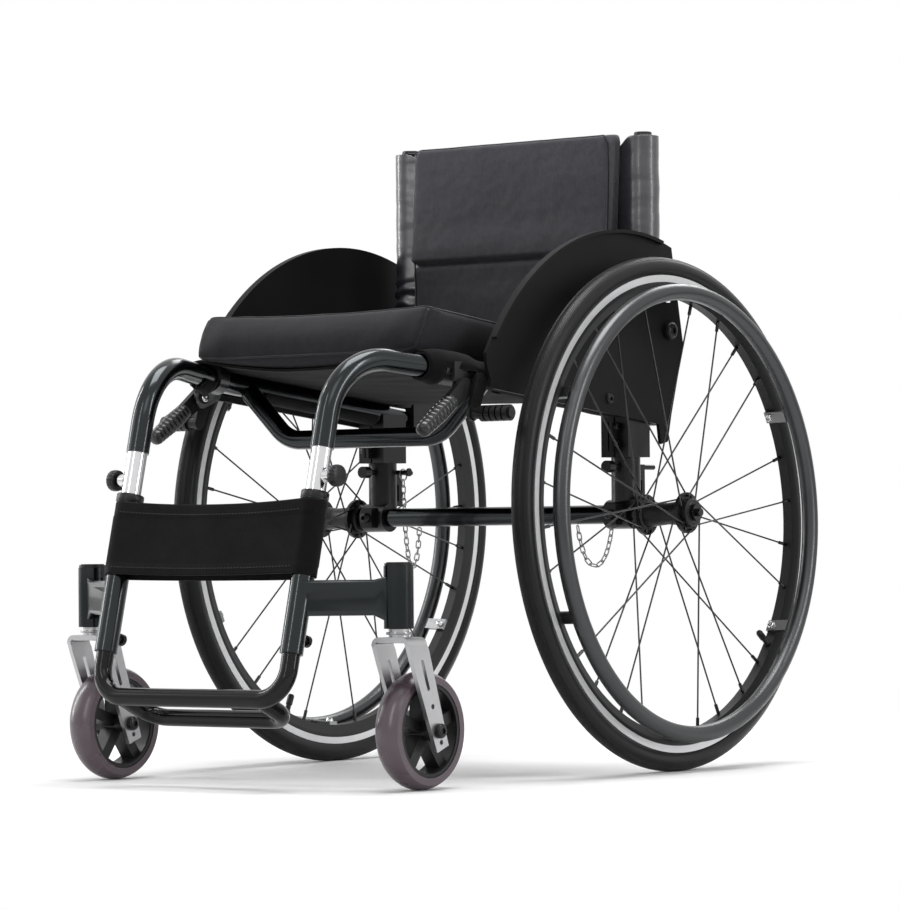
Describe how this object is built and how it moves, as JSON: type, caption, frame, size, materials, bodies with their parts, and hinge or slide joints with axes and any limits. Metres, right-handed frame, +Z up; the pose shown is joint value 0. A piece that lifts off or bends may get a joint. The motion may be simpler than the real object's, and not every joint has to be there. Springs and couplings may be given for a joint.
{
  "type": "sports wheelchair",
  "caption": "Rigid sports wheelchair with cambered spoked wheels, swivel casters, folding back, push brakes and adjustable footrest.",
  "frame": {"origin": "on the floor, midway between the rear of the tyres and the front of the footrest", "axes": "+X to the sitter's left, +Y to the back, +Z up"},
  "size_m": [0.5836, 0.8623, 0.743],
  "materials": {
    "frame_paint": "gloss gunmetal",
    "black_paint": "satin black",
    "polished_steel": "polished",
    "fork_alloy": "satin",
    "rim_alloy": "bright",
    "handrim_coat": "anodised",
    "black_steel": "blackened",
    "black_plastic": "moulded",
    "tyre_rubber": "matt",
    "caster_rubber": "matt",
    "seat_fabric": "woven",
    "sling_fabric": "coated nylon",
    "back_vinyl": "wrinkled vinyl"
  },
  "bodies": {
    "frame": {"side_frame_left": "frame_paint", "side_frame_right": "frame_paint", "leg_posts": "polished_steel", "cross_brace": "black_paint", "seat_sling": "sling_fabric", "seat_cushion": "seat_fabric", "back_bracket_left": "black_paint", "back_bracket_right": "black_paint", "back_pivot_bolts": "black_steel", "side_guard_left": "black_plastic", "side_guard_right": "black_plastic", "brake_clamp_left": "fork_alloy", "brake_clamp_right": "fork_alloy", "brake_pins": "black_steel", "column_bracket_left": "black_paint", "column_bracket_right": "black_paint"},
    "backrest": {"cane_left": "frame_paint", "cane_right": "frame_paint", "cane_plugs": "black_plastic", "back_cross_bar": "frame_paint", "back_sling": "back_vinyl", "back_pad": "seat_fabric"},
    "rear_axle": {"camber_tube": "frame_paint", "axle_column_left": "black_paint", "axle_column_right": "black_paint", "column_pins": "polished_steel", "release_axles": "polished_steel", "chains": "polished_steel"},
    "front_carriage": {"front_leg_left": "frame_paint", "front_leg_right": "frame_paint", "housing_caps": "black_plastic", "set_screws": "black_steel", "calf_strap": "sling_fabric"},
    "footrest": {"footrest": "black_paint"},
    "left_wheel": {"tyre_left": "tyre_rubber", "rim_left": "rim_alloy", "hub_left": "black_plastic", "spokes_left": "black_steel", "handrim_left": "handrim_coat"},
    "left_button": {"release_button_left": "polished_steel"},
    "left_knob": {"lock_knob_left": "black_plastic"},
    "left_fork": {"fork_left": "fork_alloy", "caster_axle_left": "fork_alloy"},
    "left_caster": {"caster_hub_left": "black_plastic", "caster_tyre_left": "caster_rubber"},
    "left_brake_lever": {"brake_lever_left": "black_paint"},
    "left_brake_shoe": {"brake_shoe_left": "black_paint"},
    "right_wheel": {"tyre_right": "tyre_rubber", "rim_right": "rim_alloy", "hub_right": "black_plastic", "spokes_right": "black_steel", "handrim_right": "handrim_coat"},
    "right_button": {"release_button_right": "polished_steel"},
    "right_knob": {"lock_knob_right": "black_plastic"},
    "right_fork": {"fork_right": "fork_alloy", "caster_axle_right": "fork_alloy"},
    "right_caster": {"caster_hub_right": "black_plastic", "caster_tyre_right": "caster_rubber"},
    "right_brake_lever": {"brake_lever_right": "black_paint"},
    "right_brake_shoe": {"brake_shoe_right": "black_paint"}
  },
  "joints": [
    {"name": "backrest_fold", "type": "hinge", "parent": "frame", "child": "backrest", "pos_m": [0, 0.19618, 0.509], "axis": [1, 0, 0], "range_deg": [0, 62]},
    {"name": "rear_height", "type": "slide", "parent": "frame", "child": "rear_axle", "axis": [0, 0, -1], "range_m": [0, 0.02]},
    {"name": "front_height", "type": "slide", "parent": "frame", "child": "front_carriage", "axis": [0, -0.2419, -0.9703], "range_m": [0, 0.04]},
    {"name": "footrest_height", "type": "slide", "parent": "front_carriage", "child": "footrest", "axis": [0, -0.2419, -0.9703], "range_m": [-0.01, 0.03]},
    {"name": "left_wheel_spin", "type": "hinge", "parent": "rear_axle", "child": "left_wheel", "pos_m": [0.2447, 0.13618, 0.2949], "axis": [0.9997, 0, 0.0262], "continuous": true},
    {"name": "left_release_button", "type": "slide", "parent": "rear_axle", "child": "left_button", "axis": [-0.9997, 0, -0.0262], "range_m": [0, 0.004], "stiffness_N_per_m": 400},
    {"name": "left_knob_pull", "type": "slide", "parent": "frame", "child": "left_knob", "axis": [1, 0, 0], "range_m": [0, 0.006], "stiffness_N_per_m": 400},
    {"name": "left_caster_swivel", "type": "hinge", "parent": "front_carriage", "child": "left_fork", "pos_m": [0.2188, -0.33462, 0.2], "axis": [0, 0, 1], "continuous": true},
    {"name": "left_caster_spin", "type": "hinge", "parent": "left_fork", "child": "left_caster", "pos_m": [0.2188, -0.29962, 0.0635], "axis": [1, 0, 0], "continuous": true},
    {"name": "left_brake", "type": "hinge", "parent": "frame", "child": "left_brake_lever", "pos_m": [0.192, -0.18182, 0.43295], "axis": [-1, 0, 0], "range_deg": [0, 70]},
    {"name": "left_shoe_press", "type": "hinge", "parent": "frame", "child": "left_brake_shoe", "pos_m": [0.198, -0.15982, 0.44064], "axis": [1, 0, 0], "range_deg": [0, 38.9]},
    {"name": "right_wheel_spin", "type": "hinge", "parent": "rear_axle", "child": "right_wheel", "pos_m": [-0.2447, 0.13618, 0.2949], "axis": [0.9997, 0, -0.0262], "continuous": true},
    {"name": "right_release_button", "type": "slide", "parent": "rear_axle", "child": "right_button", "axis": [0.9997, 0, -0.0262], "range_m": [0, 0.004], "stiffness_N_per_m": 400},
    {"name": "right_knob_pull", "type": "slide", "parent": "frame", "child": "right_knob", "axis": [-1, 0, 0], "range_m": [0, 0.006], "stiffness_N_per_m": 400},
    {"name": "right_caster_swivel", "type": "hinge", "parent": "front_carriage", "child": "right_fork", "pos_m": [-0.2188, -0.33462, 0.2], "axis": [0, 0, 1], "continuous": true},
    {"name": "right_caster_spin", "type": "hinge", "parent": "right_fork", "child": "right_caster", "pos_m": [-0.2188, -0.29962, 0.0635], "axis": [1, 0, 0], "continuous": true},
    {"name": "right_brake", "type": "hinge", "parent": "frame", "child": "right_brake_lever", "pos_m": [-0.192, -0.18182, 0.43295], "axis": [-1, 0, 0], "range_deg": [0, 70]},
    {"name": "right_shoe_press", "type": "hinge", "parent": "frame", "child": "right_brake_shoe", "pos_m": [-0.198, -0.15982, 0.44064], "axis": [1, 0, 0], "range_deg": [0, 38.9]}
  ],
  "couplings": [
    {"joint": "left_shoe_press", "follows": "left_brake", "ratio": 0.55571},
    {"joint": "right_shoe_press", "follows": "right_brake", "ratio": 0.55571}
  ]
}
